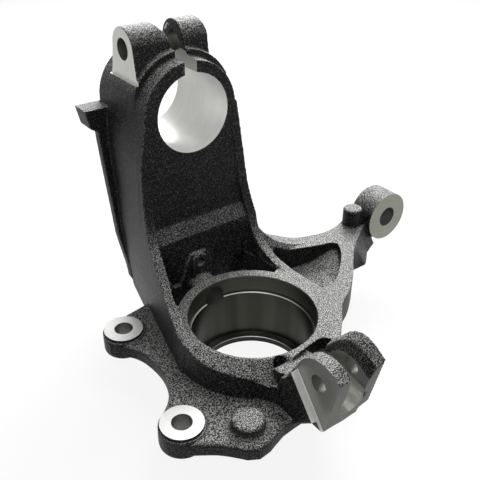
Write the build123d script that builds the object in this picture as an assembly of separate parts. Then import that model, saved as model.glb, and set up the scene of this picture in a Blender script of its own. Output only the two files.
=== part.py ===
"""Steering knuckle of a strut front axle: one ductile-iron casting with its machined seats.

Lengths are millimetres. While it is drawn, Z runs along the wheel-bearing bore and is zero at
the cast rim of the hub ring; Y runs along the strut bore; X completes the frame. At the end the
casting is lifted so that the middle of the bearing seat lies at the origin.
"""
import os
from math import cos, radians, sin

from build123d import *

# Hub ring
seat_diameter = 78.0
seat_top = -13.2
seat_length = 35.0
relief_radius = 40.5
lip_radius = 34.3
ring_bottom = -52.3
spigot_radius = 47.0
rim_radius = 50.5
foot_radius = 52.0
edge_chamfer = 1.0
rim_break = 0.4
rim_slope_inner = 42.5
rim_slope_outer = 54.0
rim_drops = [
    (184, 0.3), (190, 2.2), (197, 3.3), (204, 4.1), (211, 4.8), (218, 5.3), (225, 6.0),
    (232, 6.7), (239, 7.6), (246, 8.8), (252, 9.4), (258, 6.5), (264, 1.0),
]
dimple_centre = (-12.8, -43.6)
dimple_radius = 4.2
dimple_depth = 9.0

# Caliper plate and its ears
plate_top = -22.0
plate_thickness = 10.0
plate_edge = 2.0
ear_spacing = 90.8
ear_1 = (-62.7, 56.0)
ear_2_turn = 262.7
ear_boss_radius = 13.6
ear_boss_top = -21.0
ear_boss_bottom = -34.0
ear_pad_radius = 12.5
ear_pad_top = -19.0
ear_thread_radius = 6.0
blind_boss = (-46.0, -57.0)
blind_boss_radius = 9.2
blind_boss_foot = 14.2
blind_boss_top = -14.0
boss_edge = 2.0

# Strut clamp
strut_diameter = 50.0
strut_x = 3.4
strut_z = 110.2
clamp_front = 65.3
clamp_back = 124.7
collar_centre_x = 2.0
collar_radius = 32.6
collar_back = 75.0
band_radius = 37.0
band_back = 108.0
slit_left = -1.5
slit_right = 6.8
pinch_y = 91.5
pinch_z = 148.2
pinch_hole_radius = 6.5
pinch_ear_radius = 12.8
pinch_ear_foot = 16.5
pinch_foot_z = 131.0
left_ear_face = -27.4
right_ear_face = 24.0
ear_root_height = 3.8
flank_ledge = 1.2

# Column between the strut clamp and the ring
web_thickness = 8.0
step_z = 39.0
step_foot_z = 29.0
step_forward = 5.5
gusset_thickness = 6.5
wall_back = 118.0
rib_thickness = 6.0

# Steering arm and tie-rod eye
arm_thickness = 20.0
eye_x = 153.0
eye_z = 3.3
eye_front = 30.0
eye_back = 52.0
eye_radius = 18.8
eye_hole_radius = 7.7
eye_spot_radius = 22.6
pin_centre = (128.0, 43.0)
pin_radius = 7.2
pin_height = 14.0

# Ball-joint clamp
ball_left = -17.0
ball_right = 15.0
ball_bore_radius = 9.5
ball_bore_x = -1.0
ball_tilt = 12.0
ball_face_y = -89.0
ball_axis_z = -2.6
ball_bore_depth = 30.0
ball_slot_left = -8.8
ball_slot_right = 6.7
ball_slot_end = -51.0
ball_bolt_y = -78.6
ball_bolt_z = 11.2
ball_bolt_radius = 5.5
ball_thread_radius = 5.0
ball_bevel = 2.8
neck_top = -9.0

# Wheel-speed sensor seat
sensor_x = -2.0
sensor_z = -10.5
sensor_radius = 7.5
sensor_boss_radius = 10.2
sensor_bolt_z = 9.5
sensor_bolt_radius = 3.0
sensor_bolt_boss = 6.0

# Stop lug
lug_left = -47.0
lug_front = 112.0
lug_back = 127.0
lug_top = 108.0
lug_bottom = 95.0


def outline(*runs):
    """A face inside runs of points: a list is a smooth curve, a tuple is straight lines."""
    edges = []
    for index, run in enumerate(runs):
        following = runs[(index + 1) % len(runs)][0]
        if isinstance(run, list):
            edges += Spline(*run).edges()
            edges += Line(run[-1], following).edges()
        else:
            edges += Polyline(*run, following).edges()
    return make_face(edges)


def flat(shape):
    """A face as it is, or the polygon of a list of points."""
    if isinstance(shape, list):
        return Polygon(*shape, align=None)
    return shape


def slab_z(shape, low, high):
    """A prism of an outline in X and Y."""
    return extrude(Pos(0, 0, low) * flat(shape), amount=high - low, dir=(0, 0, 1))


def slab_x(shape, low, high):
    """A prism of an outline in Y and Z."""
    plane = Plane(origin=(low, 0, 0), x_dir=(0, 1, 0), z_dir=(1, 0, 0))
    return extrude(plane * flat(shape), amount=high - low, dir=(1, 0, 0))


def slab_y(shape, low, high):
    """A prism of an outline in X and Z."""
    plane = Plane(origin=(0, high, 0), x_dir=(1, 0, 0), z_dir=(0, -1, 0))
    return extrude(plane * flat(shape), amount=high - low, dir=(0, -1, 0))


def rod_z(x, y, radius, low, high):
    """An upright cylinder."""
    return Pos(x, y, (low + high) / 2) * Cylinder(radius, high - low)


def rod_y(x, z, radius, low, high):
    """A cylinder along Y."""
    return Pos(x, (low + high) / 2, z) * Rot(90, 0, 0) * Cylinder(radius, high - low)


def rod_x(y, z, radius, low, high):
    """A cylinder along X."""
    return Pos((low + high) / 2, y, z) * Rot(0, 90, 0) * Cylinder(radius, high - low)


def turned(profile, angle=360.0):
    """A solid turned about Z from an outline in radius and height."""
    face = Plane.XZ * Polygon(*profile, align=None)
    return revolve(face, Axis.Z, angle)


def upright(turn):
    """The upright plane through Z that faces along a direction in degrees."""
    c, s = cos(radians(turn)), sin(radians(turn))
    return Plane(origin=(0, 0, 0), x_dir=(c, s, 0), z_dir=(s, -c, 0))


# Hub ring: a drafted rim over a plain spigot, its rim falling away towards the ball joint
ring = turned([
    (lip_radius - 2, ring_bottom), (spigot_radius, ring_bottom),
    (spigot_radius, plate_top - plate_thickness), (foot_radius, plate_top - plate_thickness),
    (foot_radius, plate_top), (rim_radius, 0), (lip_radius - 2, 0),
])
rim_reach = (rim_slope_outer - rim_slope_inner) / (rim_radius - rim_slope_inner)
rim_fall = loft([
    upright(turn) * Polygon(
        (rim_slope_inner, 0.01), (rim_slope_outer, -drop * rim_reach), (rim_slope_outer, 0.01),
        align=None,
    )
    for turn, drop in rim_drops
])
dimple = rod_z(*dimple_centre, dimple_radius, -dimple_depth, 5)

# Caliper plate with two threaded ears and a blind boss
ear_2 = (
    ear_1[0] + ear_spacing * cos(radians(ear_2_turn)),
    ear_1[1] + ear_spacing * sin(radians(ear_2_turn)),
)
plate_outline = outline(
    ((-28, 74.5), (-36, 74.5), (-55.3, 71.2), (-61, 69.3), (-74.5, 61.5)),
    [
        (-76, 51), (-71, 45.2), (-66.6, 40), (-63.3, 33.4), (-61.4, 24), (-60.9, 13.5),
        (-62.2, 4.2), (-65.7, -5), (-70.3, -12.2), (-76.2, -17.6), (-82.5, -23),
    ],
    ((-87.3, -29.5), (-87.3, -38)),
    [(-82.5, -43.8), (-73.4, -50.9), (-65.5, -56.7), (-60.5, -61.8), (-54.8, -68.5)],
    ((-48.7, -72), (-41, -71.2), (-35.2, -69.2), (-28.7, -67.2), (-20.4, -66.4), (-12, -66)),
    ((-10, -58), (0, -40), (0, 20)),
)
plate = slab_z(plate_outline, plate_top - plate_thickness, plate_top)
plate = fillet(plate.faces().sort_by(Axis.Z)[-1].edges(), plate_edge)
plate = fillet(plate.faces().sort_by(Axis.Z)[0].edges(), plate_edge)
ears = []
for x, y in (ear_1, ear_2):
    boss = rod_z(x, y, ear_boss_radius, ear_boss_bottom, ear_boss_top)
    boss = fillet(boss.edges(), boss_edge)
    ears += [boss, rod_z(x, y, ear_pad_radius, ear_boss_top - 1, ear_pad_top)]
knob = rod_z(*blind_boss, blind_boss_radius, plate_top - 1, blind_boss_top)
knob = fillet(knob.edges().sort_by(Axis.Z)[-1], boss_edge)
foot_curve = blind_boss_foot - blind_boss_radius
knob_foot = Pos(*blind_boss, plate_top) * turned([
    (0, -1), (blind_boss_foot, -1), (blind_boss_foot, 0), *[
        (blind_boss_foot - foot_curve * sin(radians(a)), foot_curve * (1 - cos(radians(a))))
        for a in range(15, 91, 15)
    ],
    (0, foot_curve),
])

# Side walls of the column, lofted between outlines taken at several heights
left_stations = [
    (-32, -53.2, -25.3), (-22, -53.2, -25.3), (0, -50.8, -27.9), (30, -46.8, -30.3),
    (55, -44.1, -30.5), (85, -38.3, -32.7), (105, -31.5, -31.5), (114, -30.0, -30.0),
]
right_stations = [
    (-20, 56.2, 35.0), (0, 56.0, 34.8), (30, 55.9, 39.4), (53, 50.3, 37.4),
    (76, 44.4, 37.3), (98, 37.8, 37.8), (110, 34.8, 34.8),
]


def side_wall(stations, thickness):
    """A wall lofted through its outer lines, each given at Y = 0 and at the back."""
    faces = []
    for z, x_front, x_back in stations:
        x_back += (x_back - x_front) / wall_back
        corners = [
            (x_front, 0), (x_back, wall_back),
            (x_back + thickness, wall_back), (x_front + thickness, 0),
        ]
        faces.append(Pos(0, 0, z) * Polygon(*corners, align=None))
    return loft(faces, ruled=True)


left_sweep = outline(
    [
        (65.3, 78), (64.6, 62), (63.3, 50.5), (59.7, 39.5), (52.3, 29.0), (42.5, 18.7),
        (33, 10.6), (22.5, 4.9), (12, 1.8), (0, 0),
    ],
    ((0, -32), (104, -32), (111, -32), (116, -27), (wall_back, -12), (wall_back, 115), (65.3, 115)),
)
right_sweep = outline(
    [
        (65.3, 104), (64.7, 92), (64.2, 79), (63.5, 61), (62.4, 47), (60.4, 36), (57.8, 26), (54, 18), (49, 11.9),
        (43, 7.3), (36, 3.5), (28, 1.0), (18, 0),
    ],
    ((18, -20), (74, -20)),
    [(84, -18), (94, -11.5), (101.5, -2), (107, 9), (113, 24), (wall_back - 1, 44)],
    ((wall_back, 60), (wall_back, 115), (65.3, 115)),
)
left_wall = side_wall(left_stations, gusset_thickness) & slab_x(left_sweep, -60, 0)
right_wall = side_wall(right_stations, -gusset_thickness) & slab_x(right_sweep, 0, 70)

# Web between the walls, with the step below the strut clamp
web = slab_y([
    (-30.2, 112), (-33, 96), (-35, 85), (-36, 60), (-36.4, 39), (-36, 0), (-36, -24),
    (42, -20), (42, 0), (45.5, 29), (43.5, 41), (42, 53), (40, 76), (38, 98), (35.8, 112),
], clamp_front, clamp_front + web_thickness)
step = slab_x([
    (clamp_front + 3, step_z), (clamp_front, step_z),
    (clamp_front - step_forward, step_foot_z), (clamp_front - step_forward, -24),
    (clamp_front + 3, -24),
], -36, 41.5)

# Strut clamp
barrel = rod_y(collar_centre_x, strut_z, collar_radius, clamp_front, clamp_back)
band = rod_y(collar_centre_x, strut_z, band_radius, collar_back, band_back)
band &= Pos(0, 90, 126 + 30) * Box(120, 80, 60)
flank = slab_y(
    [
        (left_ear_face - flank_ledge, pinch_foot_z), (left_ear_face - 3.2, pinch_foot_z - 18),
        (left_ear_face - 3.6, strut_z - 10), (left_ear_face + 9.4, strut_z - 10),
        (left_ear_face + 9.4, pinch_foot_z),
    ],
    pinch_y - 14.5, pinch_y + 17,
)
ear_low_y = pinch_y - 2 * pinch_ear_foot
ear_high_y = pinch_y + 2 * pinch_ear_foot
ear_side = [
    (pinch_y - pinch_ear_radius, pinch_z), (pinch_y - pinch_ear_foot + 1.3, pinch_foot_z),
    (pinch_y - pinch_ear_foot, pinch_foot_z - 13), (pinch_y + pinch_ear_foot + 2, pinch_foot_z - 13),
    (pinch_y + pinch_ear_foot, pinch_foot_z), (pinch_y + pinch_ear_radius, pinch_z),
]
ear_round = rod_x(pinch_y, pinch_z, pinch_ear_radius, -60, 60)
ear_body = slab_x(ear_side, -60, 60) + ear_round
ear_crest = pinch_z + pinch_ear_radius
ear_root = strut_z + ear_root_height
left_ear = ear_body & slab_y([
    (left_ear_face, ear_root), (left_ear_face, ear_crest + 2), (slit_left - 10.5, ear_crest + 2),
    (slit_left - 6.5, ear_crest - 0.2), (slit_left - 2.9, ear_crest - 4.5),
    (slit_left - 0.7, ear_crest - 10), (slit_left, ear_crest - 17), (slit_left, ear_root),
], ear_low_y, ear_high_y)
right_ear = ear_body & slab_y([
    (slit_right, ear_root), (slit_right, ear_crest + 2), (right_ear_face - 2.4, ear_crest + 2),
    (right_ear_face - 0.6, ear_crest - 3), (right_ear_face, ear_crest - 6),
    (right_ear_face, pinch_z - 10), (right_ear_face + 1.2, pinch_z - 18),
    (right_ear_face + 1.2, ear_root),
], ear_low_y, ear_high_y)

# Stop lug and the outer rib below it
lug = slab_y([
    (-27, lug_top), (lug_left, lug_top), (lug_left + 2.5, lug_bottom + 1),
    (lug_left + 6, lug_bottom - 1.5), (-27, lug_bottom - 1.5),
], lug_front, lug_back)
rib = slab_y([
    (-28, 97), (-39.9, 97), (-38.3, 73), (-36.8, 54.5), (-35.2, 35), (-33.6, 14), (-31.9, 4),
    (-29.9, -6), (-28, -16), (-26.8, -27), (-23, -27), (-23, 97),
], wall_back - rib_thickness, wall_back)

# Steering arm with its triangular pocket, pin and tie-rod eye
arm_outline = outline(
    ((0, 0), (20, 30), (36, 62), (56, 62), (66, 61)),
    [
        (71, 58.3), (77, 53.9), (84.5, 50.4), (92.5, 47.8), (100, 46.2), (107.5, 45.8),
        (115, 47.0), (123, 49.6), (133, 51.5),
    ],
    ((147, 51.6), (147, 37)),
    [
        (138.5, 37.3), (131, 34.2), (123, 29.2), (112.5, 22.3), (102.2, 14.6), (93, 5.6),
        (84.6, -3.3), (75.4, -11.4), (66.3, -18.2), (58.5, -22.6),
    ],
    [(53.5, -25.2), (47, -31.5), (39.5, -39.2), (29, -48.2), (15, -56)],
    ((0, -50),),
)
arm = slab_z(arm_outline, -arm_thickness, 0)
arm_web = slab_y(outline(
    [(40.5, 40), (44, 28), (48, 18.8), (53, 11.9), (60.5, 6), (69.5, 2), (78, 0.4), (86, 0)],
    ((86, -5), (40.5, -5)),
), 38, 62)
arm_web &= slab_x([(39, -6), (43, 0), (50.5, 9), (56, 18), (60, 27), (62, 40), (62, -6)], 30, 100)
arm_web &= slab_z(arm_outline, -arm_thickness, 50)
stop_block = loft([
    Pos(0, 0, -arm_thickness) * Polygon(
        (92, 4), (106, 15.8), (118, 15.8), (121, 17.5), (132, 27), (146, 33.5), (146, 40),
        (125, 36), (100, 20), align=None,
    ),
    Polygon(
        (92, 4.2), (101, 13), (108, 18.6), (112.5, 22), (123, 28.9), (137, 36.8), (138, 40),
        (125, 36), (100, 20), align=None,
    ),
], ruled=True)
eye = rod_y(eye_x, eye_z, eye_radius, eye_front, eye_back)
eye = fillet(eye.edges().sort_by(Axis.Y)[-1], 4)
pin = rod_z(*pin_centre, pin_radius, -1, pin_height)
pin = fillet(pin.edges().sort_by(Axis.Z)[-1], boss_edge)
arm_pocket = slab_z(outline(
    [(53.5, 46.8), (62.7, 43.6), (73.2, 39.6), (83.7, 35.6), (96, 31.8)],
    [(99.4, 28.6), (96, 22), (86.2, 10.8), (76, 2.4), (64.5, -5.4), (58, -7.9)],
    [(54.3, -6.2), (52.7, 2), (52.2, 10.1), (51.4, 20), (51, 30), (51.4, 42)],
), -18, 14) & slab_y([
    (48, 14), (48, -17), (67, -17), (81, -14), (96, -6.5), (104, -4), (104, 14),
], -20, 60)

# Ball-joint clamp
bore_dir = (0, cos(radians(ball_tilt)), sin(radians(ball_tilt)))
left_side = outline(
    ((-44, -3), (-44, -20), (-85.3, -20)),
    [(-93.6, 18.9), (-91.2, 22.6), (-87.5, 25), (-82.5, 26.1), (-77, 25.8), (-71.2, 24.0)],
    [(-66.3, 20.2), (-63, 15), (-60.3, 8.9), (-56.5, 2.5), (-50, -1.5)],
)
right_sections = [
    (ball_slot_right, [(-60, 4), (-64.6, 11), (-68.6, 15), (-73, 16.9), (-77.8, 17.1),
     (-82.2, 16.7), (-86, 14.9), (-89, 12.6), (-91.9, 11)]),
    (ball_slot_right + ball_bevel, [(-59.6, 12), (-64.2, 18), (-68.6, 21.4), (-73, 24), (-77.5, 24.7),
     (-81.8, 24.3), (-85.8, 22.6), (-89.6, 21), (-93.8, 19.7)]),
    (ball_right, [(-59.5, 14.1), (-63.7, 19.2), (-67.8, 24.1), (-71.6, 27.2), (-76.2, 28.9),
     (-81, 29), (-85.5, 27.8), (-89.7, 25.5), (-94.4, 22.7)]),
]
block = slab_x(left_side, ball_left, (ball_slot_left + ball_slot_right) / 2)
block += slab_x([(-44, -3), (-44, -20), (-85.3, -20), (-91, 7), (-60, 7), (-50, -1.5)],
                (ball_slot_left + ball_slot_right) / 2, ball_slot_right)
block += loft([
    Plane(origin=(x, 0, 0), x_dir=(0, 1, 0), z_dir=(1, 0, 0)) * Polygon(
        (-44, -3), (-44, -20), (-85.3, -20), *reversed(top), align=None
    )
    for x, top in right_sections
], ruled=True)
block &= slab_y([
    (ball_left, -16.5), (-8, -18.4), (-2, -19.2), (3, -18), (9, -14.2), (ball_right, -13),
    (ball_right, 35), (ball_left, 35),
], -100, -40)
neck = slab_z(outline(
    [(-33, -37.5), (-27.9, -44.2), (-24.4, -48.7), (-22.4, -53), (-21.6, -58.4), (-21.4, -66)],
    ((ball_right, -66), (ball_right, -59), (28, -47), (30, -36)),
), plate_top - 2, neck_top)
neck_wall = slab_x([
    (-50, -30), (-64, -30), (-70, -23), (-81.6, -12.3), (-62.8, 10.7), (-60.3, 6.4),
    (-58.2, 3.3), (-54.3, 0), (-51, neck_top), (-50, neck_top),
], -22, ball_left + 1)
ball_bore = Plane(
    origin=(ball_bore_x, ball_face_y, ball_axis_z), x_dir=(1, 0, 0), z_dir=bore_dir
) * Pos(0, 0, ball_bore_depth / 2 - 5) * Cylinder(ball_bore_radius, ball_bore_depth + 10)
ball_slot = slab_x([
    (-56, ball_axis_z + 7), (-99, ball_axis_z - 2), (-99, 45), (ball_slot_end, 45),
    (ball_slot_end, -8), (-56, -8),
], ball_slot_left, ball_slot_right)
ball_valley = slab_z([
    (-19, -55.5), (-19, -50), (-15, -45.5), (-11.5, -44.5), (-7.6, -46.4), (1, -44.9),
    (5.5, -44.1), (11.4, -43.2), (16.6, -42.7), (20.1, -43.2), (23, -47), (20, -53), (12, -56),
    (-16, -56.8),
], neck_top, 10)
ball_hole = rod_x(ball_bolt_y, ball_bolt_z, ball_bolt_radius, -30, 0)
ball_hole += rod_x(ball_bolt_y, ball_bolt_z, ball_thread_radius, 0, 30)

# Hollow between the ring and the web, and the wheel-speed sensor seat in it
hollow = slab_z([
    (-31.5, 59.8), (-38.5, 29), (-20, 20), (20, 20), (43.5, 29), (38, 59.8),
], -15, 12) - rod_z(0, 0, 47.6, -20, 20)
sensor_pad = slab_y([
    (8, -15), (8, 9.5), (4, 15.5), (-8, 15.5), (-10.7, 10.4), (-17, -5), (-21.8, -5.4),
    (-24.6, -0.1), (-28, -2), (-28, -15),
], 57.6, 62)
sensor_boss = rod_y(sensor_x, sensor_z, sensor_boss_radius, 45, 76)
sensor_tab = rod_y(sensor_x, sensor_bolt_z, sensor_bolt_boss, 55, 76)
sensor_tab += slab_y([
    (sensor_x - sensor_bolt_boss, sensor_z), (sensor_x - sensor_bolt_boss, sensor_bolt_z),
    (sensor_x + sensor_bolt_boss, sensor_bolt_z), (sensor_x + sensor_bolt_boss, sensor_z),
], 55, 76)

# The casting
casting = ring + plate + left_wall + right_wall + web + step + barrel + band + flank
casting += ears + [knob, knob_foot, left_ear, right_ear, lug, rib]
casting += [arm, arm_web, stop_block, eye, pin, block, neck, neck_wall]
casting -= hollow
casting += [sensor_pad, sensor_boss, sensor_tab]
casting -= [rim_fall, dimple, arm_pocket, ball_slot, ball_valley]

# Machined seats and holes
seat_bottom = seat_top - seat_length
seat_radius = seat_diameter / 2
casting -= turned([
    (0, ring_bottom - edge_chamfer), (lip_radius + 2 * edge_chamfer, ring_bottom - edge_chamfer),
    (lip_radius, ring_bottom + edge_chamfer), (lip_radius, seat_bottom), (seat_radius, seat_bottom),
    (seat_radius, seat_top), (seat_radius + edge_chamfer, seat_top + edge_chamfer),
    (relief_radius, seat_top + edge_chamfer), (relief_radius, -rim_break),
    (relief_radius + rim_break, 0), (relief_radius + rim_break, 40), (0, 40),
])
casting -= rod_y(strut_x, strut_z, strut_diameter / 2, clamp_front - 15, clamp_back + 15)
for y, turn in ((clamp_front, 90), (clamp_back, -90)):
    casting -= Pos(strut_x, y, strut_z) * Rot(turn, 0, 0) * Cone(
        strut_diameter / 2 - edge_chamfer, strut_diameter / 2 + edge_chamfer, 2 * edge_chamfer
    )
casting -= Pos((slit_left + slit_right) / 2, (clamp_front + clamp_back) / 2, strut_z + 30) * Box(
    slit_right - slit_left, clamp_back - clamp_front + 30, 60
)
casting -= rod_x(pinch_y, pinch_z, pinch_hole_radius, -50, 50)
casting -= [ball_bore, ball_hole]
for x, y in (ear_1, ear_2):
    casting -= rod_z(x, y, ear_thread_radius, -45, 0)
casting -= rod_y(eye_x, eye_z, eye_spot_radius, eye_front - 12, eye_front)
casting -= rod_y(eye_x, eye_z, eye_hole_radius, eye_front - 10, eye_back + 20)
casting -= rod_y(sensor_x, sensor_z, sensor_radius, 25, 90)
casting -= rod_y(sensor_x, sensor_bolt_z, sensor_bolt_radius, 45, 90)

casting = Pos(0, 0, seat_length / 2 - seat_top) * casting
print("solids", len(casting.solids()), "volume", round(casting.volume / 1000, 1), "cm3")
casting.label = "steering_knuckle"

os.makedirs("parts", exist_ok=True)
export_step(casting, "parts/steering_knuckle.step")
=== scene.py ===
"""Steering knuckle: one black-coated iron casting with its machined seats, on a pale studio floor.

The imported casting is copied, its holes and machined faces are filled with stock, and its edges are
rounded as a mould leaves them. Then it is machined again, so that cast edges are soft and machined
edges are crisp. Lengths are millimetres, and heights are counted from the cast rim of the hub
ring, as in the part's own drawing.
"""
from math import cos, pi, radians, sin

import bmesh
import bpy
from mathutils import Matrix, Vector


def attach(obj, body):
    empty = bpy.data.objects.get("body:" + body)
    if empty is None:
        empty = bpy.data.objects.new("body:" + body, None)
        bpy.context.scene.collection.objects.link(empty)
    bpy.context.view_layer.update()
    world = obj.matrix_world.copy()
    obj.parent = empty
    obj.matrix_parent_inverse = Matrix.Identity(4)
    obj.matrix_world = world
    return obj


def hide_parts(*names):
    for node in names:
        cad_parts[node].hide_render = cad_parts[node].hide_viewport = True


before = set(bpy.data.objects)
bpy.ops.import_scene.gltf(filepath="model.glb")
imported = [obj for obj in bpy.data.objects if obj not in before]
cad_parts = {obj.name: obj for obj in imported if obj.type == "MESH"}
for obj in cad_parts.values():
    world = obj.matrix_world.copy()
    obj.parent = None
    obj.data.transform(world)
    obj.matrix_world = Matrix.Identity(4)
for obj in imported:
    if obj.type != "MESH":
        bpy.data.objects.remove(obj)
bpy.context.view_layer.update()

MM = 0.001
RIM = 30.7                       # height of the ring's cast rim over the middle of the bearing seat

# Camera, solved from the photograph's bores and faces
CAMERA_PLACE = (-195.73, -253.38, 285.29)
CAMERA_TURN = 36.275             # degrees from +Y towards +X
CAMERA_FALL = 32.082             # degrees below level
CAMERA_LENS, CAMERA_SENSOR = 48.75, 36.0
CAMERA_NEAR, CAMERA_FAR = 0.01, 50.0     # metres

# Casting
WELD = 0.002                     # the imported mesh's split vertices lie closer than this
VOXEL = 0.6                      # cells of the remeshed casting
CAST_ROUNDING = 3                # smoothing passes, which leave cast radii of about 1 mm
TRIANGLES = 180000
SHARP_ANGLE = 38.0               # degrees between the faces of a machined edge, at least
HOLE_STOCK = 0.6                 # how far the stock in a hole reaches past its wall
SKIM = 0.2                       # a cut this much deeper takes all the cast skin off a face
OVERLAP = 0.1                    # of two cuts that follow one another
CLEAR_TOP = 175.0                # a height above the whole casting
BORE_SIDES, HOLE_SIDES = 160, 64

# Hub ring
SEAT_RADIUS, SEAT_TOP, SEAT_BOTTOM = 39.0, -13.2, -48.2
RELIEF_RADIUS, LIP_RADIUS, RING_BOTTOM = 40.5, 34.3, -52.3
SEAT_CHAMFER, LIP_CHAMFER, RIM_BREAK = 0.6, 0.5, 0.4
SEAT_CORNER = 0.8                # height of the tool's corner at the foot of the seat
SEAT_FOOT, SEAT_MOUTH = SEAT_BOTTOM + SEAT_CORNER, SEAT_TOP + SEAT_CHAMFER
RING_STOCK = 0.7
RIM_CONE = 2.0                   # height and width of the cone that breaks the rim's edge

# Strut clamp
STRUT_X, STRUT_Z, STRUT_RADIUS = 3.4, 110.2, 25.0
CLAMP_FRONT, CLAMP_BACK = 65.3, 124.7
SLIT_LEFT, SLIT_RIGHT, SLIT_BOTTOM = -1.5, 6.8, 122.2
SLIT_STOCK_BOTTOM, SLIT_STOCK_TOP, SLIT_STOCK = 130.0, 142.4, 1.0
PINCH_Y, PINCH_Z, PINCH_RADIUS = 91.5, 148.2, 6.5
LEFT_EAR_FACE, RIGHT_EAR_FACE = -27.4, 24.0
SPOT_FACE_BOTTOM, SPOT_FACE_FRONT, SPOT_FACE_BACK = 130.6, 65.0, 118.0
NUT_FACE_RADIUS, NUT_FACE_DEPTH = 11.5, 0.3

# Caliper ears
EARS = ((-62.7, 56.0), (-74.237, -34.064))
EAR_PAD_RADIUS, EAR_PAD_TOP, EAR_BOSS_TOP, EAR_HOLE_RADIUS = 12.5, -19.0, -21.0, 6.0
PAD_STOCK, PAD_STOCK_TOP, PAD_STOCK_BOTTOM, EAR_HOLE_BOTTOM = 1.0, 1.2, -30.0, -34.0
PAD_CUT, PAD_SIDE_CUT = 3.0, 3.5         # how far the pads' cutters reach past them

# Steering arm
EYE_X, EYE_Z, EYE_RADIUS, EYE_FRONT, EYE_BACK, EYE_HOLE = 153.0, 3.3, 18.8, 30.0, 52.0, 7.7
EYE_STOCK_FRONT, EYE_STOCK_BACK, EYE_HOLE_STOCK = 2.5, 2.0, 1.0
EYE_SPOT_RADIUS = 22.6

# Ball-joint clamp: outlines are in Y and height
BALL_LEFT = -17.0
BALL_X, BALL_Y, BALL_Z, BALL_TILT, BALL_RADIUS, BALL_DEPTH = -1.0, -89.0, -2.6, 12.0, 9.5, 30.0
BALL_CENTRE = (BALL_X, BALL_Y, BALL_Z + RIM)
BALL_DIRECTION = (0, cos(radians(BALL_TILT)), sin(radians(BALL_TILT)))
BALL_SLOT_LEFT, BALL_SLOT_RIGHT = -8.8, 6.7
BALL_BOLT_Y, BALL_BOLT_Z, BALL_BOLT_RADIUS, BALL_THREAD_RADIUS = -78.6, 11.2, 5.5, 5.0
BALL_END_CUT = 60.0              # half the diagonal of the square cutter for the end face
BALL_STOCK_LEFT, BALL_STOCK_RIGHT = 1.6, 0.5
BALL_STOCK_MIDDLE = (-3.0, -2.0)         # the two pieces of stock overlap here
BALL_LEFT_STOCK = [
    (-44, -3), (-44, -18), (-87.2, -18), (-95.2, 19.2), (-91.2, 22.6), (-87.5, 25), (-82.5, 26.1),
    (-77, 25.8), (-71.2, 24), (-66.3, 20.2), (-63, 15), (-60.3, 8.9), (-56.5, 2.5), (-50, -1.5),
]
BALL_RIGHT_STOCK = [
    (-44, -3), (-44, -18), (-87.2, -18), (-93, 10.5), (-89, 12), (-86, 14), (-82.2, 16),
    (-77.8, 16.4), (-73, 16.2), (-68.6, 14.4), (-64.6, 10.5), (-60, 4), (-50, -1.5),
]
BALL_FACE_OUTLINE = [(-62.5, 10.4), (-52.6, 22.5), (-52.6, 60), (-115, 60), (-115, -53.7)]
BALL_SHOULDER_OUTLINE = [(-62.3, 10.2), (-66, 13.5), (-119, -50.7), (-114.8, -53.9)]
BALL_SLOT_OUTLINE = [(-56, 4.4), (-99, -4.6), (-99, 45), (-51, 45), (-51, 4.4)]

# Sensor seat
SENSOR_X, SENSOR_Z, SENSOR_RADIUS, SENSOR_BOLT_Z, SENSOR_BOLT_RADIUS = -2.0, -10.5, 7.5, 9.5, 3.0
SENSOR_STOCK_FRONT, SENSOR_STOCK_BACK = 38.0, 76.0

# Studio: the softboxes are in metres and watts, and the one behind on the right draws the sheen
# of the upward faces
FLOOR_SIZE, FLOOR_GAP = 6000, 0.02
LAMP_AIM = (0.02, 0.02, 0.05)
LAMPS = [
    ("right_back_softbox", (0.64, 0.60, 0.74), 0.6, 18.0),
    ("low_back_softbox", (0.40, 1.00, 0.50), 0.4, 2.5),
    ("overhead_softbox", (0.42, 0.05, 1.05), 0.5, 4.0),
    ("high_front_softbox", (-0.70, -0.70, 0.95), 0.8, 3.6),
]


def place_camera():
    """The photograph's camera: a square picture, 650 pixels of focal length over 480."""
    turn, fall = radians(CAMERA_TURN), radians(CAMERA_FALL)
    ahead = Vector((sin(turn) * cos(fall), cos(turn) * cos(fall), -sin(fall)))
    right = Vector((cos(turn), -sin(turn), 0))
    over = right.cross(ahead)
    data = bpy.data.cameras.new("photo_camera")
    data.sensor_width = CAMERA_SENSOR
    data.sensor_height = CAMERA_SENSOR
    data.sensor_fit = "HORIZONTAL"
    data.lens = CAMERA_LENS
    data.clip_start = CAMERA_NEAR
    data.clip_end = CAMERA_FAR
    camera = bpy.data.objects.new("photo_camera", data)
    bpy.context.collection.objects.link(camera)
    rows = [[right[i], over[i], -ahead[i], CAMERA_PLACE[i] * MM] for i in range(3)]
    camera.matrix_world = Matrix(rows + [[0, 0, 0, 1]])
    bpy.context.scene.camera = camera


place_camera()


# Materials

def linear(code):
    """The linear colour of an sRGB hex value."""
    parts = [int(code[i:i + 2], 16) / 255 for i in (1, 3, 5)]
    return [c / 12.92 if c <= 0.04045 else ((c + 0.055) / 1.055) ** 2.4 for c in parts] + [1.0]


def every(size):
    """The scale of a pattern on coordinates in metres whose features are a size in millimetres."""
    return 1 / (size * MM)


def add(tree, kind, inputs=None, **settings):
    """Adds a node with its settings; an input is a value or another node's output."""
    node = tree.nodes.new(kind)
    for name, value in settings.items():
        setattr(node, name, value)
    for name, value in (inputs or {}).items():
        if isinstance(value, bpy.types.NodeSocket):
            tree.links.new(value, node.inputs[name])
        else:
            node.inputs[name].default_value = value
    return node


def noise(tree, where, size, detail, roughness=0.5):
    """Noise whose features are a size in millimetres."""
    inputs = {"Vector": where, "Scale": every(size), "Detail": detail, "Roughness": roughness}
    return add(tree, "ShaderNodeTexNoise", inputs).outputs["Fac"]


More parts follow.
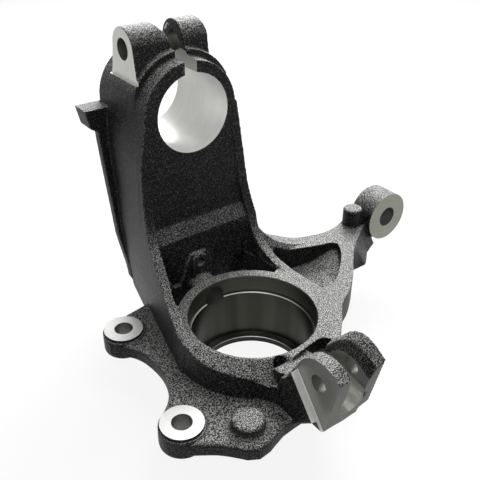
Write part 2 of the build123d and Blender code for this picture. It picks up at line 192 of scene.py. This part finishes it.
def multiply_add(tree, value, factor, rest, **settings):
    """A value times a factor, plus the rest."""
    inputs = {0: value, 1: factor, 2: rest}
    return add(tree, "ShaderNodeMath", inputs, operation="MULTIPLY_ADD", **settings).outputs[0]


def larger(tree, first, second):
    """The larger of two values."""
    return add(tree, "ShaderNodeMath", {0: first, 1: second}, operation="MAXIMUM").outputs[0]


def map_range(tree, inputs, **settings):
    """A value mapped from one range to another."""
    return add(tree, "ShaderNodeMapRange", inputs, **settings).outputs[0]


def ramp(tree, factor, stops):
    """A colour ramp over a factor; each stop is a place and a hex colour."""
    node = add(tree, "ShaderNodeValToRGB", {"Fac": factor})
    points = node.color_ramp.elements
    while len(points) < len(stops):
        points.new(1.0)
    for point, (place, code) in zip(points, stops):
        point.position = place
        point.color = linear(code)
    return node.outputs["Color"]


def new_material(name):
    """An empty node material with its output and object coordinates."""
    material = bpy.data.materials.new(name)
    material.use_nodes = True
    tree = material.node_tree
    tree.nodes.clear()
    output = add(tree, "ShaderNodeOutputMaterial")
    where = add(tree, "ShaderNodeTexCoord").outputs["Object"]
    return material, tree, output, where


def cast_skin():
    """Ductile iron from a sand mould under black electrocoat: nearly black, with the mould's sand
    standing through it as a fine grain. The grains on faces that look up are painted pale, a painted
    top light, with painted shade in inner corners and painted highlights on outer edges; all of them
    glitter where they mirror a lamp."""
    material, tree, output, where = new_material("electrocoated_sand_cast_iron")
    # the mould's sand is 0.3 mm; it is drawn at 0.7 mm, the least that shows
    grit = noise(tree, where, 0.7, 1.0)
    # swells of the mould's wall, 4 mm apart
    swell = noise(tree, where, 4.0, 2.0)
    # patches of 25 mm that make the edge of the painted top light ragged
    top_light_patches = noise(tree, where, 25.0, 3.0, 0.55)
    # the black coating's own grain, and below it the same grain painted pale for the painted top
    # light
    coat_grains = ramp(tree, grit, [(0.46, "#050505"), (0.55, "#121212"), (0.66, "#585857")])
    painted_lit_grains = ramp(tree, grit, [(0.38, "#181818"), (0.50, "#5c5c5b"), (0.62, "#b4b4b2")])
    # painted top light: level faces are 1, walls 0, and the patches make the change between them
    # ragged
    surface = add(tree, "ShaderNodeNewGeometry").outputs
    rise = add(tree, "ShaderNodeSeparateXYZ", {"Vector": surface["Normal"]}).outputs["Z"]
    ragged = multiply_add(tree, top_light_patches, 0.3, rise)
    painted_top_light = map_range(tree, {"Value": ragged, "From Min": 0.30, "From Max": 1.05},
                       interpolation_type="SMOOTHSTEP")
    # painted shade darkens inner corners and a painted highlight lightens outer edges; a flat face
    # has pointiness 0.5
    bend = surface["Pointiness"]
    painted_corner_shade = map_range(tree, {"Value": bend, "From Min": 0.44, "From Max": 0.495})
    painted_edge_highlight = map_range(tree, {"Value": bend, "From Min": 0.515, "From Max": 0.58, "To Max": 0.55})
    # the share of painted pale grain: painted top light, less in inner corners, plus the painted
    # edge highlights
    painted_light = multiply_add(tree, painted_top_light, painted_corner_shade, painted_edge_highlight, use_clamp=True)
    colour = add(tree, "ShaderNodeMix", {"Factor": painted_light, "A": coat_grains, "B": painted_lit_grains}, data_type="RGBA")
    height = multiply_add(tree, swell, 1.5, grit)
    bump = add(tree, "ShaderNodeBump", {"Strength": 1.0, "Distance": 0.3 * MM, "Height": height})
    rough = map_range(tree, {"Value": grit, "To Min": 0.34, "To Max": 0.50})
    shader = add(tree, "ShaderNodeBsdfPrincipled",
                 {"Base Color": colour.outputs["Result"], "Roughness": rough,
                  "Specular IOR Level": 0.12, "Normal": bump.outputs[0]})
    tree.links.new(shader.outputs[0], output.inputs["Surface"])
    return material


def machined(name, light, shade, rough, metal, along=(1.0, 1.0, 1.0), marks_apart=0.9):
    """Bare ductile iron from a cutter: satin, with fine tool marks. The real marks are 0.2 mm
    apart, and are drawn 0.9 mm apart, the least that shows."""
    material, tree, output, where = new_material(name)
    stretched = add(tree, "ShaderNodeMapping", {"Vector": where, "Scale": along}).outputs[0]
    marks = noise(tree, stretched, marks_apart, 2.0)
    # graphite and oil leave faint clouds of 15 mm
    cloud = noise(tree, stretched, 15.0, 2.0)
    mixed = multiply_add(tree, marks, 0.4, cloud)
    colour = ramp(tree, mixed, [(0.50, shade), (0.90, light)])
    bump = add(tree, "ShaderNodeBump", {"Strength": 0.3, "Distance": 0.03 * MM, "Height": marks})
    roughness = map_range(tree, {"Value": marks, "To Min": rough - 0.05, "To Max": rough + 0.05})
    shader = add(tree, "ShaderNodeBsdfPrincipled",
                 {"Base Color": colour, "Metallic": metal, "Roughness": roughness,
                  "Normal": bump.outputs[0]})
    tree.links.new(shader.outputs[0], output.inputs["Surface"])
    return material


# The scale of a cutter's marks along each axis: a small one draws them out along it
ALONG_X, ALONG_Y, ALONG_Z = (0.2, 1.0, 1.0), (1.0, 0.2, 1.0), (1.0, 1.0, 0.2)
AROUND_Y, AROUND_Z = (0.2, 1.0, 0.2), (0.1, 0.1, 1.0)
UPRIGHT_BANDS, UPRIGHT_STREAKS = (1.0, 1.0, 0.05), (1.0, 1.0, 0.3)

SKIN = cast_skin()
# the caliper's pads, face milled and clean: the palest metal on the part
PAD = machined("face_milled_iron_pad", "#d6d6d4", "#c8c8c6", 0.45, 0.8, ALONG_Y)
# the strut ears' faces: a wide cutter's even grey with a warm tint
EAR_FACE = machined("face_milled_iron_ear", "#d0d1cc", "#c4c5c0", 0.40, 0.7, ALONG_Z)
# the strut bore, bored to size: pale, with rings around its axis
STRUT_BORE = machined("bored_iron_strut_seat", "#dededc", "#d0d0cd", 0.48, 0.45, AROUND_Y)
# the bearing seat, finely bored and oiled: dark olive grey in soft upright bands of 22 mm, the
# floor's and the column's reflections
SEAT = machined("fine_bored_oiled_iron", "#42423d", "#2a2a26", 0.30, 1.0, UPRIGHT_BANDS, 22.0)
# its relief: the same olive grey, duller and a little paler
RELIEF = machined("rough_bored_oiled_iron", "#5a5a54", "#4a4a44", 0.42, 1.0, AROUND_Z)
# the shoulder under the bearing: a paler ring at the foot of the seat, painted light on this upward
# face
SEAT_FLOOR = machined("faced_iron_shoulder", "#6e6e6b", "#545451", 0.40, 0.9)
# the wall of the lip: a dark line under that ring, painted shade on this inner wall
LIP_WALL = machined("rough_bored_iron_lip", "#343432", "#222221", 0.45, 0.9, AROUND_Z)
# the seat's and the lip's chamfers: thin bright lines, painted highlights
CHAMFER = machined("turned_iron_chamfer", "#b0b0ad", "#9a9a97", 0.35, 0.8)
# the strut clamp's slit: an even light grey
SAWN = machined("sawn_iron_slit", "#b0b1ab", "#9c9d97", 0.42, 0.6, ALONG_Y)
# plain holes: mid grey, darker than any face around them, a painted shade inside the holes
DRILLED = machined("drilled_iron", "#6c6c69", "#545451", 0.55, 0.7, ALONG_X)
# threaded holes: grey in light and dark streaks
THREAD = machined("tapped_iron_thread", "#8c8c88", "#5a5a56", 0.40, 0.7, UPRIGHT_STREAKS)
# the tie-rod eye's face: olive grey
EYE_FACE = machined("side_milled_iron_eye", "#96978b", "#8a8b80", 0.42, 0.6, ALONG_X)
# the ball-joint clamp's end: the same cutter's olive grey, painted much darker as shade on this face
# that looks forward and down
BALL_END = machined("side_milled_iron_end", "#474840", "#3d3e36", 0.42, 0.6, ALONG_X)
# the ball-joint clamp's left face: mid grey
BALL_FACE = machined("face_milled_iron_clamp", "#8e8e8b", "#7e7e7a", 0.40, 0.6, ALONG_Y)
# the step in front of that face: a pale strip
BALL_SHOULDER = machined("shoulder_milled_iron", "#f0f0ee", "#e4e4e1", 0.45, 0.5, ALONG_X)
# the ball-joint clamp's slit: duller and darker than the strut clamp's
BALL_SLOT = machined("sawn_oiled_iron_slit", "#7c7d78", "#62635e", 0.50, 0.6, ALONG_Y)
# the ball-stud bore: a light grey hollow
BALL_BORE = machined("reamed_iron_stud_bore", "#c0c1bb", "#a0a19b", 0.36, 0.6, ALONG_Y)


# Shapes

def up(z):
    """A height over the ring's rim as a height over the middle of the seat."""
    return z + RIM


def new_piece(name, shape, material=None):
    """An object for a bmesh that is drawn in millimetres."""
    mesh = bpy.data.meshes.new(name)
    bmesh.ops.scale(shape, vec=(MM, MM, MM), verts=shape.verts)
    bmesh.ops.recalc_face_normals(shape, faces=shape.faces)
    shape.to_mesh(mesh)
    shape.free()
    piece = bpy.data.objects.new(name, mesh)
    bpy.context.collection.objects.link(piece)
    if material:
        mesh.materials.append(material)
    return piece


def prism(outline, low, high):
    """A prism of an outline in Y and height over the rim, from one X to another."""
    shape = bmesh.new()
    face = shape.faces.new([shape.verts.new((low, y, up(z))) for y, z in outline])
    grown = bmesh.ops.extrude_face_region(shape, geom=[face])
    moved = [v for v in grown["geom"] if isinstance(v, bmesh.types.BMVert)]
    bmesh.ops.translate(shape, vec=(high - low, 0, 0), verts=moved)
    return shape


def block(front, back, bottom, top, low, high):
    """A block between two Y and two heights over the rim, from one X to another."""
    return prism([(front, bottom), (back, bottom), (back, top), (front, top)], low, high)


def rod(centre, direction, radius, low, high, sides=96, end_radius=None):
    """A cylinder or cone about a line through a point, between two distances along it."""
    shape = bmesh.new()
    bmesh.ops.create_cone(
        shape, cap_ends=True, segments=sides, radius1=radius,
        radius2=radius if end_radius is None else end_radius, depth=high - low,
    )
    turn = Vector((0, 0, 1)).rotation_difference(Vector(direction)).to_matrix().to_4x4()
    middle = Vector(centre) + Vector(direction).normalized() * (low + high) / 2
    bmesh.ops.transform(shape, matrix=Matrix.Translation(middle) @ turn, verts=shape.verts)
    return shape


def upright(x, y, radius, low, high, sides=HOLE_SIDES):
    """A cylinder that stands on a point, between two heights over the rim."""
    return rod((x, y, 0), (0, 0, 1), radius, up(low), up(high), sides)


def turned(radius, low, high, sides=BORE_SIDES, end_radius=None):
    """A cylinder or cone about the ring's axis, between two heights over the rim."""
    return rod((0, 0, 0), (0, 0, 1), radius, up(low), up(high), sides, end_radius)


def lengthwise(x, z, radius, low, high, sides=96):
    """A cylinder along Y, at a height over the rim."""
    return rod((x, 0, up(z)), (0, 1, 0), radius, low, high, sides)


def crosswise(y, z, radius, low, high):
    """A cylinder along X, at a height over the rim."""
    return rod((0, y, up(z)), (1, 0, 0), radius, low, high, HOLE_SIDES)


def washer(x, y, inner, outer, low, high, sides=96):
    """A flat ring that stands on a point, between two heights over the rim."""
    shape = bmesh.new()
    section = [(inner, low), (outer, low), (outer, high), (inner, high)]
    corners = [shape.verts.new((x + r, y, up(z))) for r, z in section]
    edges = [shape.edges.new(pair) for pair in zip(corners, corners[1:] + corners[:1])]
    bmesh.ops.spin(
        shape, geom=corners + edges, cent=(x, y, 0), axis=(0, 0, 1), angle=2 * pi, steps=sides,
        use_merge=True,
    )
    return shape


def join(target, pieces):
    """Joins pieces into a target object."""
    chosen = [target, *pieces]
    with bpy.context.temp_override(active_object=target, selected_editable_objects=chosen):
        bpy.ops.object.join()


def apply_modifiers(piece):
    """Bakes a piece's modifiers into its mesh."""
    graph = bpy.context.evaluated_depsgraph_get()
    mesh = bpy.data.meshes.new_from_object(piece.evaluated_get(graph), depsgraph=graph)
    old = piece.data
    piece.modifiers.clear()
    piece.data = mesh
    bpy.data.meshes.remove(old)


# The casting before machining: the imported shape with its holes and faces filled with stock

def casting_copy():
    """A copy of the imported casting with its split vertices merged."""
    copy = bpy.data.objects.new("casting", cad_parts["steering_knuckle"].data.copy())
    bpy.context.collection.objects.link(copy)
    shape = bmesh.new()
    shape.from_mesh(copy.data)
    bmesh.ops.remove_doubles(shape, verts=shape.verts, dist=WELD * MM)
    shape.to_mesh(copy.data)
    shape.free()
    return copy


def stock_shapes():
    """The metal that the machining takes off."""
    pinch_stock = PINCH_RADIUS + HOLE_STOCK
    shapes = [
        turned(RELIEF_RADIUS + RING_STOCK, RING_BOTTOM, 0, sides=128),
        lengthwise(STRUT_X, STRUT_Z, STRUT_RADIUS + HOLE_STOCK, CLAMP_FRONT, CLAMP_BACK),
        block(CLAMP_FRONT, CLAMP_BACK, SLIT_STOCK_BOTTOM, SLIT_STOCK_TOP,
              SLIT_LEFT - SLIT_STOCK, SLIT_RIGHT + SLIT_STOCK),
        crosswise(PINCH_Y, PINCH_Z, pinch_stock, LEFT_EAR_FACE, SLIT_LEFT),
        crosswise(PINCH_Y, PINCH_Z, pinch_stock, SLIT_RIGHT, RIGHT_EAR_FACE),
        lengthwise(EYE_X, EYE_Z, EYE_RADIUS, EYE_FRONT - EYE_STOCK_FRONT,
                   EYE_FRONT + EYE_STOCK_BACK),
        lengthwise(EYE_X, EYE_Z, EYE_HOLE + HOLE_STOCK, EYE_FRONT - EYE_HOLE_STOCK, EYE_BACK,
                   HOLE_SIDES),
        prism(BALL_LEFT_STOCK, BALL_LEFT - BALL_STOCK_LEFT, BALL_STOCK_MIDDLE[1]),
        prism(BALL_RIGHT_STOCK, BALL_STOCK_MIDDLE[0], BALL_SLOT_RIGHT + BALL_STOCK_RIGHT),
        lengthwise(SENSOR_X, SENSOR_Z, SENSOR_RADIUS + HOLE_STOCK, SENSOR_STOCK_FRONT,
                   SENSOR_STOCK_BACK, HOLE_SIDES),
    ]
    for x, y in EARS:
        shapes += [
            upright(x, y, EAR_PAD_RADIUS + PAD_STOCK, PAD_STOCK_BOTTOM,
                    EAR_PAD_TOP + PAD_STOCK_TOP),
            upright(x, y, EAR_HOLE_RADIUS + HOLE_STOCK, EAR_HOLE_BOTTOM, EAR_PAD_TOP, sides=48),
        ]
    return shapes


def round_edges(piece):
    """Rounds a piece's edges as a sand mould leaves them, and thins its mesh."""
    cells = piece.modifiers.new("cells", "REMESH")
    cells.mode = "VOXEL"
    cells.voxel_size = VOXEL * MM
    cells.use_smooth_shade = True
    rounding = piece.modifiers.new("cast_radii", "SMOOTH")
    rounding.factor = 0.5
    rounding.iterations = CAST_ROUNDING
    apply_modifiers(piece)
    count = sum(len(p.vertices) - 2 for p in piece.data.polygons)
    thinning = piece.modifiers.new("thinning", "DECIMATE")
    thinning.ratio = min(1.0, TRIANGLES / count)
    thinning.use_collapse_triangulate = True
    apply_modifiers(piece)


casting = casting_copy()
join(casting, [new_piece(f"stock_{i}", shape) for i, shape in enumerate(stock_shapes())])
round_edges(casting)
casting.data.materials.clear()
casting.data.materials.append(SKIN)


# Machining: each cut leaves the finish of its own cutter

def cutters():
    """The cutters in their order, each with its name, shape and finish. Numbers without a name
    only take a cutter clear of the casting."""
    tools = [
        ("lip", turned(LIP_RADIUS, RING_BOTTOM - 2, SEAT_BOTTOM + 2), LIP_WALL),
        ("lip_edge", turned(LIP_RADIUS - OVERLAP, SEAT_BOTTOM - LIP_CHAMFER, SEAT_BOTTOM + OVERLAP,
                            end_radius=LIP_RADIUS + LIP_CHAMFER), CHAMFER),
        ("seat_floor", turned(SEAT_RADIUS, SEAT_BOTTOM, SEAT_FOOT + OVERLAP), SEAT_FLOOR),
        ("seat", turned(SEAT_RADIUS, SEAT_FOOT, SEAT_TOP + OVERLAP), SEAT),
        ("seat_edge", turned(SEAT_RADIUS, SEAT_TOP, SEAT_MOUTH,
                             end_radius=SEAT_RADIUS + SEAT_CHAMFER), CHAMFER),
        ("relief", turned(RELIEF_RADIUS, SEAT_MOUTH, 2), RELIEF),
        ("rim_edge", turned(RELIEF_RADIUS, -RIM_BREAK, RIM_CONE - RIM_BREAK,
                            end_radius=RELIEF_RADIUS + RIM_CONE), RELIEF),
        ("strut_bore", lengthwise(STRUT_X, STRUT_Z, STRUT_RADIUS, 50, 140, BORE_SIDES),
         STRUT_BORE),
        ("slit", block(50, 140, SLIT_BOTTOM, CLEAR_TOP, SLIT_LEFT, SLIT_RIGHT), SAWN),
        ("pinch_hole_left", crosswise(PINCH_Y, PINCH_Z, PINCH_RADIUS, -50, SLIT_LEFT + 1), DRILLED),
        ("pinch_hole_right", crosswise(PINCH_Y, PINCH_Z, PINCH_RADIUS, SLIT_RIGHT - 1, 50), THREAD),
        ("spot_face", block(SPOT_FACE_FRONT, SPOT_FACE_BACK, SPOT_FACE_BOTTOM, CLEAR_TOP,
                            -45, LEFT_EAR_FACE + SKIM), EAR_FACE),
        ("nut_face", crosswise(PINCH_Y, PINCH_Z, NUT_FACE_RADIUS,
                               RIGHT_EAR_FACE - NUT_FACE_DEPTH, 40), EAR_FACE),
        ("eye_face", lengthwise(EYE_X, EYE_Z, EYE_SPOT_RADIUS, 18, EYE_FRONT + SKIM), EYE_FACE),
        ("eye_hole", lengthwise(EYE_X, EYE_Z, EYE_HOLE, 0, 80, HOLE_SIDES), DRILLED),
        ("ball_shoulder", prism(BALL_SHOULDER_OUTLINE, -45, BALL_LEFT), BALL_SHOULDER),
        ("ball_face", prism(BALL_FACE_OUTLINE, -45, BALL_LEFT + SKIM), BALL_FACE),
        ("ball_end", rod(BALL_CENTRE, BALL_DIRECTION, BALL_END_CUT, -40, 0, sides=4), BALL_END),
        ("ball_slot", prism(BALL_SLOT_OUTLINE, BALL_SLOT_LEFT, BALL_SLOT_RIGHT), BALL_SLOT),
        ("ball_bore", rod(BALL_CENTRE, BALL_DIRECTION, BALL_RADIUS, -10, BALL_DEPTH), BALL_BORE),
        ("ball_bolt", crosswise(BALL_BOLT_Y, BALL_BOLT_Z, BALL_BOLT_RADIUS, -40, -2), DRILLED),
        ("ball_thread", crosswise(BALL_BOLT_Y, BALL_BOLT_Z, BALL_THREAD_RADIUS, -2, 40), DRILLED),
        ("sensor_bore", lengthwise(SENSOR_X, SENSOR_Z, SENSOR_RADIUS, 25, 90, HOLE_SIDES), DRILLED),
        ("sensor_bolt", lengthwise(SENSOR_X, SENSOR_BOLT_Z, SENSOR_BOLT_RADIUS, 45, 90, sides=32),
         SKIN),
    ]
    for i, (x, y) in enumerate(EARS):
        tools += [
            (f"pad_top_{i}", upright(x, y, EAR_PAD_RADIUS + PAD_CUT, EAR_PAD_TOP, -10), PAD),
            (f"pad_side_{i}", washer(x, y, EAR_PAD_RADIUS, EAR_PAD_RADIUS + PAD_SIDE_CUT,
                                     EAR_BOSS_TOP, -12), SKIN),
            (f"ear_hole_{i}", upright(x, y, EAR_HOLE_RADIUS, -50, 0), THREAD),
        ]
    return tools


def machine(piece, tools):
    """Cuts the cutters out of a piece; each new face keeps its cutter's material."""
    for name, shape, material in tools:
        cutter = new_piece("cutter_" + name, shape, material)
        cut = piece.modifiers.new(name, "BOOLEAN")
        cut.operation = "DIFFERENCE"
        cut.solver = "MANIFOLD"
        cut.material_mode = "TRANSFER"
        cut.object = cutter
        apply_modifiers(piece)
        bpy.data.objects.remove(cutter)


machine(casting, cutters())
casting.data.shade_smooth()
casting.data.set_sharp_from_angle(angle=radians(SHARP_ANGLE))
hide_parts("steering_knuckle")
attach(casting, "root")


# Studio

def directly_seen(tree):
    """1 for a ray that comes from the camera, by gloss or through glass, and 0 for any other."""
    path = add(tree, "ShaderNodeLightPath").outputs
    gloss = larger(tree, path["Is Camera Ray"], path["Is Glossy Ray"])
    return larger(tree, gloss, path["Is Transmission Ray"])


def floor_material():
    """White paper: the camera, gloss and glass see it near white, with the object's soft shadow.
    To every other ray it is grey, so that it throws little light up at the object."""
    material, tree, output, _ = new_material("white_paper")
    paper = add(tree, "ShaderNodeBsdfDiffuse", {"Color": linear("#a0a0a0")})
    white = add(tree, "ShaderNodeBsdfDiffuse", {"Color": linear("#f2f2f2")})
    glow = add(tree, "ShaderNodeEmission", {"Color": (1, 1, 1, 1), "Strength": 1.0})
    seen = add(tree, "ShaderNodeMixShader", {0: 0.88, 1: white.outputs[0], 2: glow.outputs[0]})
    both = add(tree, "ShaderNodeMixShader",
               {0: directly_seen(tree), 1: paper.outputs[0], 2: seen.outputs[0]})
    tree.links.new(both.outputs[0], output.inputs["Surface"])
    return material


def pale_world():
    """A soft grey sky that the camera, gloss and glass see as white."""
    world = bpy.data.worlds.new("studio")
    bpy.context.scene.world = world
    world.use_nodes = True
    tree = world.node_tree
    tree.nodes.clear()
    output = add(tree, "ShaderNodeOutputWorld")
    strength = map_range(tree, {"Value": directly_seen(tree), "To Min": 0.2, "To Max": 1.0})
    light = add(tree, "ShaderNodeBackground", {"Color": (1, 1, 1, 1), "Strength": strength})
    tree.links.new(light.outputs[0], output.inputs["Surface"])


def studio():
    """A wide floor just under the ring, the softboxes and the sky."""
    sheet = bmesh.new()
    bmesh.ops.create_grid(sheet, x_segments=1, y_segments=1, size=FLOOR_SIZE)
    bmesh.ops.translate(sheet, vec=(0, 0, up(RING_BOTTOM) - FLOOR_GAP), verts=sheet.verts)
    new_piece("paper_floor", sheet, floor_material())
    for name, place, size, power in LAMPS:
        data = bpy.data.lights.new(name, "AREA")
        data.shape = "SQUARE"
        data.size = size
        data.energy = power
        lamp = bpy.data.objects.new(name, data)
        bpy.context.collection.objects.link(lamp)
        lamp.location = place
        aim = Vector(LAMP_AIM) - Vector(place)
        lamp.rotation_euler = aim.to_track_quat("-Z", "Y").to_euler()
    pale_world()


studio()
bpy.context.scene.view_settings.view_transform = "Standard"
